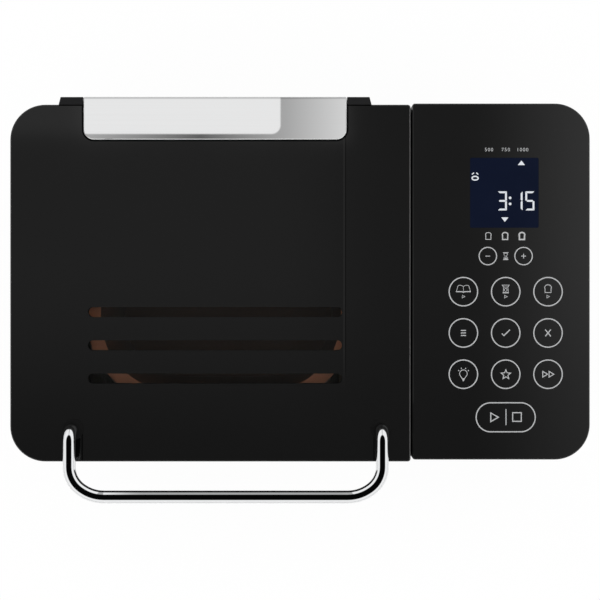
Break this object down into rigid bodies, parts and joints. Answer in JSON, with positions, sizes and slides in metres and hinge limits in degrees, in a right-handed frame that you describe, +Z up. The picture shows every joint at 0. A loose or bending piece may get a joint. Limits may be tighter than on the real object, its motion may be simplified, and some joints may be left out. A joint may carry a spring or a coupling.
{
  "type": "bread machine",
  "caption": "Table-top bread machine: a hinged dark glass lid with window slots and chrome handle over an oven with a bread pan and paddle, beside a touch control panel.",
  "frame": {"origin": "centre of the machine's outline on the table", "axes": "+X along the longest side towards the control panel, +Y to the rear, +Z up"},
  "size_m": [0.396, 0.2752, 0.3053],
  "materials": {
    "black_plastic": "fine moulded texture",
    "gloss_black": "polished",
    "smoked_glass": "polished, smoked",
    "clear_glass": "clear",
    "display_glass": "polished",
    "steel_wrap": "brushed along its length",
    "chrome": "mirror polished",
    "polished_plate": "polished",
    "dark_enamel": "satin",
    "sheet_steel": "plain sheet",
    "pan_coating": "bronze non-stick",
    "rubber_black": "matt",
    "silicone": "matt",
    "machined_steel": "turned",
    "cast_metal": "die cast",
    "copper": "enamelled wire",
    "board_green": "solder mask",
    "ceramic": "unglazed",
    "lamp_glass": "frosted",
    "white_nylon": "moulded"
  },
  "bodies": {
    "case": {"base_pan": "black_plastic", "rubber_feet": "rubber_black", "body_wrap": "steel_wrap", "rear_panel": "black_plastic", "cord_gland": "rubber_black", "top_deck": "black_plastic", "hinge_brackets": "machined_steel", "console_housing": "black_plastic", "panel_glass": "gloss_black", "display_lens": "display_glass", "display_module": "black_plastic", "touch_board": "board_green", "touch_pads": "copper", "power_board": "board_green", "power_components": "black_plastic", "drive_frame": "sheet_steel", "frame_screws": "machined_steel", "chamber_standoffs": "ceramic", "oven_chamber": "sheet_steel", "heater_element": "dark_enamel", "heater_bushings": "ceramic", "heater_brackets": "sheet_steel", "temperature_probe": "machined_steel", "lamp_lens": "lamp_glass", "lamp_holder": "ceramic", "lamp_bulb": "lamp_glass", "pan_seat": "cast_metal", "shaft_bearing": "cast_metal", "motor_stator": "sheet_steel", "motor_end_bells": "cast_metal", "motor_windings": "copper", "drive_belt": "rubber_black", "motor_capacitor": "white_nylon"},
    "lid": {"lid_frame": "black_plastic", "lid_glass": "smoked_glass", "slotted_shield": "dark_enamel", "lid_liner": "sheet_steel", "window_pane": "clear_glass", "lid_seal": "silicone", "lid_screws": "machined_steel", "handle": "chrome", "handle_grommets": "rubber_black", "hinge_pins": "machined_steel", "dispenser_bucket": "black_plastic"},
    "dispenser_lid": {"dispenser_lid": "polished_plate"},
    "trap": {"dispenser_flap": "black_plastic"},
    "pan": {"bread_pan": "pan_coating", "pan_foot": "cast_metal", "pan_bush": "machined_steel", "bail_lugs": "machined_steel"},
    "bail": {"pan_bail": "machined_steel"},
    "paddle": {"paddle": "pan_coating", "paddle_shaft": "machined_steel", "pan_coupling": "cast_metal"},
    "drive": {"drive_shaft": "machined_steel", "drive_pulley": "white_nylon", "drive_coupling": "cast_metal"},
    "rotor": {"motor_rotor": "machined_steel", "motor_shaft": "machined_steel", "motor_pulley": "cast_metal"}
  },
  "joints": [
    {"name": "lid_hinge", "type": "hinge", "parent": "case", "child": "lid", "pos_m": [-0.058, 0.13025, 0.252], "axis": [-1, 0, 0], "range_deg": [0, 85]},
    {"name": "dispenser_lid_hinge", "type": "hinge", "parent": "lid", "child": "dispenser_lid", "pos_m": [-0.058, 0.13545, 0.2806], "axis": [-1, 0, 0], "range_deg": [0, 95]},
    {"name": "trap_hinge", "type": "hinge", "parent": "lid", "child": "trap", "pos_m": [-0.058, 0.10145, 0.2504], "axis": [1, 0, 0], "range_deg": [0, 80]},
    {"name": "pan_lift", "type": "slide", "parent": "case", "child": "pan", "axis": [0, 0, 1], "range_m": [0, 0.018]},
    {"name": "bail_hinge", "type": "hinge", "parent": "pan", "child": "bail", "pos_m": [-0.058, 0.00605, 0.1998], "axis": [-1, 0, 0], "range_deg": [0, 20]},
    {"name": "drive_spin", "type": "hinge", "parent": "case", "child": "drive", "pos_m": [-0.058, 0.00605, 0.088], "axis": [0, 0, 1], "continuous": true},
    {"name": "motor_spin", "type": "hinge", "parent": "case", "child": "rotor", "pos_m": [0.1286, 0.00605, 0.088], "axis": [0, 0, 1], "continuous": true},
    {"name": "paddle_spin", "type": "hinge", "parent": "pan", "child": "paddle", "pos_m": [-0.058, 0.00605, 0.088], "axis": [0, 0, 1], "continuous": true}
  ],
  "couplings": [
    {"joint": "motor_spin", "follows": "drive_spin", "ratio": 5.3333},
    {"joint": "paddle_spin", "follows": "drive_spin", "ratio": 1}
  ]
}
